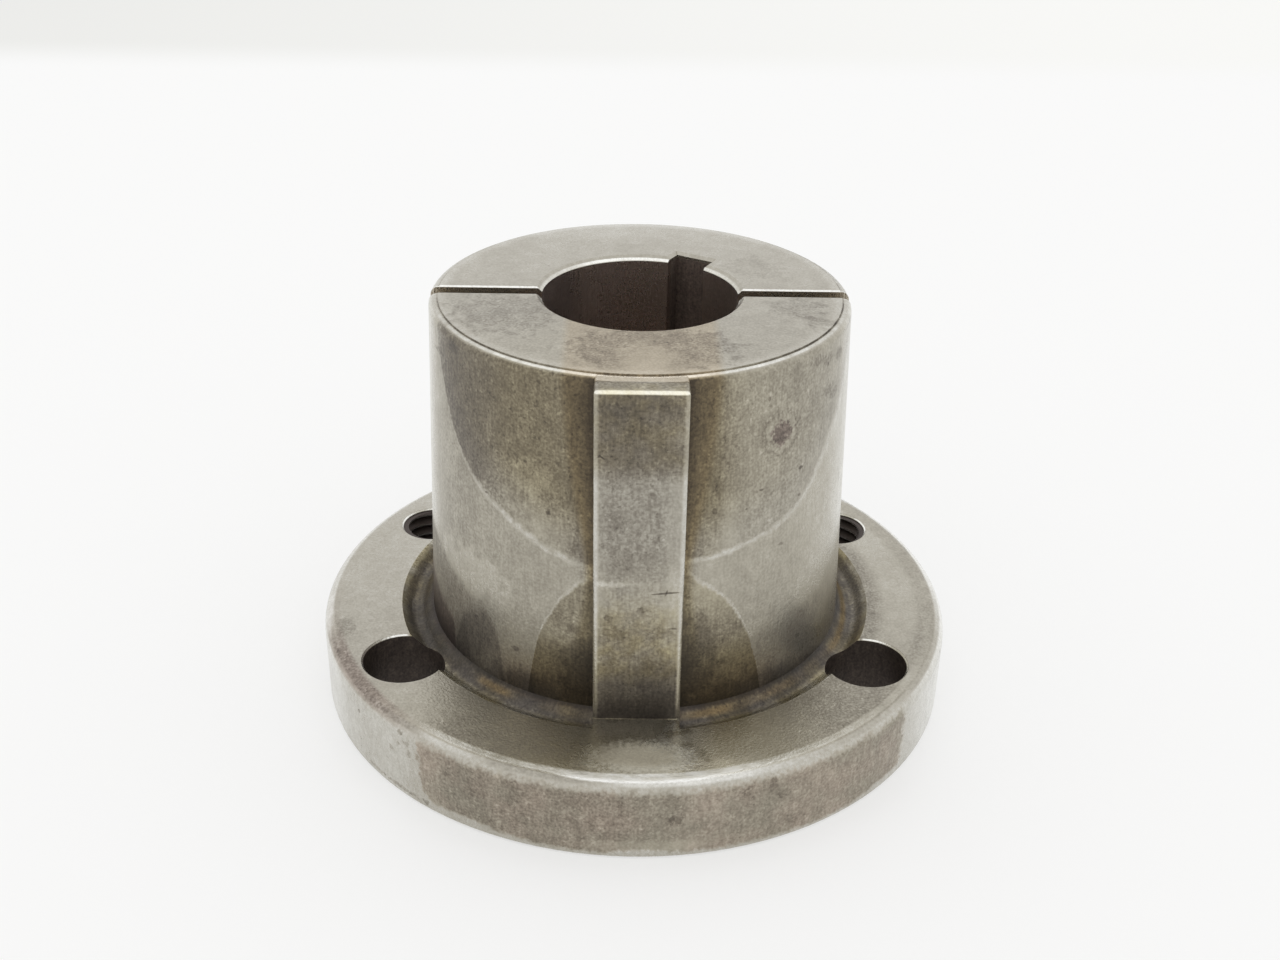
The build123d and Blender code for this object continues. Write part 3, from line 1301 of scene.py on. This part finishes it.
bmesh.ops.rotate(
    shape,
    verts=[part for part in second["geom"] if isinstance(part, bmesh.types.BMVert)],
    cent=(0, 0, 0),
    matrix=Matrix.Rotation(math.radians(BETWEEN_HOLES), 3, "Z"),
)
bmesh.ops.recalc_face_normals(shape, faces=shape.faces)
shape.to_mesh(thread_mesh)
shape.free()
threads = bpy.data.objects.new("jack_threads", thread_mesh)
bpy.context.scene.collection.objects.link(threads)

OILY_ROOT = (0.085, 0.070, 0.064, 1)
WORN_CREST = (0.62, 0.60, 0.56, 1)
thread_steel = bpy.data.materials.new("thread_steel")
thread_steel.use_nodes = True
tree = thread_steel.node_tree
surface = tree.nodes["Principled BSDF"]
on = use_group(tree, place_on_bush)
worn = fade(tree, size_of(tree, on["Upright"]), 0.5, 0.15)
worn = times(tree, worn, pick(tree, cloud(tree, on["Place"], 0.8, seed=2.7), 0.6, 1.0))
thread_colours = tree.nodes.new("ShaderNodeValToRGB")
tree.links.new(worn, thread_colours.inputs["Fac"])
thread_colours.color_ramp.elements[0].color = OILY_ROOT
thread_colours.color_ramp.elements[1].color = WORN_CREST
tree.links.new(thread_colours.outputs["Color"], surface.inputs["Base Color"])
surface.inputs["Metallic"].default_value = 0.85
tree.links.new(pick(tree, worn, 0.5, 0.3), surface.inputs["Roughness"])
thread_mesh.materials.append(thread_steel)
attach(threads, "root")


# Bench: the plain white sheet that the bush stands on, whose far edge shows
# a darker, warmer band: painted shade where the backdrop folds, deeper on the left.
BENCH_REACH = 1.5
SHEET_END = 0.32
SHEET_WHITE = (0.965, 0.965, 0.96, 1)
FAR_SHADE_LEFT = (0.84, 0.84, 0.82, 1)
FAR_SHADE_RIGHT = (0.955, 0.955, 0.935, 1)
bench_mesh = bpy.data.meshes.new("bench")
shape = bmesh.new()
bmesh.ops.create_grid(shape, x_segments=1, y_segments=1, size=BENCH_REACH)
shape.to_mesh(bench_mesh)
shape.free()
bench = bpy.data.objects.new("bench", bench_mesh)
bpy.context.scene.collection.objects.link(bench)
paper = bpy.data.materials.new("white_paper")
paper.use_nodes = True
tree = paper.node_tree
sheet = tree.nodes["Principled BSDF"]
sheet.inputs["Roughness"].default_value = 0.9
sheet.inputs["Specular IOR Level"].default_value = 0.1
coordinates = tree.nodes.new("ShaderNodeTexCoord")
parts = tree.nodes.new("ShaderNodeSeparateXYZ")
tree.links.new(coordinates.outputs["Object"], parts.inputs[0])
beyond = fade(tree, parts.outputs[1], SHEET_END - 0.02, SHEET_END + 0.02)
sheet_colour = tree.nodes.new("ShaderNodeMix")
sheet_colour.data_type = "RGBA"
tree.links.new(beyond, sheet_colour.inputs[0])
sheet_colour.inputs[6].default_value = SHEET_WHITE
# Painted shade of the far band, darker on the left
far_band_shade = tree.nodes.new("ShaderNodeMix")
far_band_shade.data_type = "RGBA"
tree.links.new(fade(tree, parts.outputs[0], -0.32, 0.22), far_band_shade.inputs[0])
far_band_shade.inputs[6].default_value = FAR_SHADE_LEFT
far_band_shade.inputs[7].default_value = FAR_SHADE_RIGHT
tree.links.new(far_band_shade.outputs[2], sheet_colour.inputs[7])
tree.links.new(sheet_colour.outputs[2], sheet.inputs["Base Color"])

# Half of what is seen of the sheet is its own white, so that its shadows stay pale
lifted = tree.nodes.new("ShaderNodeEmission")
tree.links.new(sheet_colour.outputs[2], lifted.inputs["Color"])
seen = tree.nodes.new("ShaderNodeLightPath")
sight = most(
    tree,
    *(seen.outputs[kind] for kind in ("Is Camera Ray", "Is Glossy Ray", "Is Transmission Ray")),
)
share = times(tree, sight, 0.5)
paper_mix = tree.nodes.new("ShaderNodeMixShader")
tree.links.new(share, paper_mix.inputs[0])
tree.links.new(sheet.outputs[0], paper_mix.inputs[1])
tree.links.new(lifted.outputs[0], paper_mix.inputs[2])
tree.links.new(paper_mix.outputs[0], tree.nodes["Material Output"].inputs["Surface"])
bench.data.materials.append(paper)


# Room: soft white light from all round.
room = bpy.data.worlds.new("room")
bpy.context.scene.world = room
room.use_nodes = True
room.node_tree.nodes["Background"].inputs["Color"].default_value = (1, 1, 1, 1)
room.node_tree.nodes["Background"].inputs["Strength"].default_value = 0.98


# Camera: close in front of the bush and a little above it, looking down on
# the small end.
lens = bpy.data.cameras.new("camera")
lens.lens = 42.76
lens.sensor_width = 36
camera = bpy.data.objects.new("camera", lens)
camera.location = [along * MILLIMETRE for along in (-2.32, -160.42, 112.08)]
camera.rotation_euler = [math.radians(angle) for angle in (61.488, -0.975, -0.433)]
bpy.context.scene.collection.objects.link(camera)
bpy.context.scene.camera = camera
bpy.context.scene.view_settings.view_transform = "Standard"
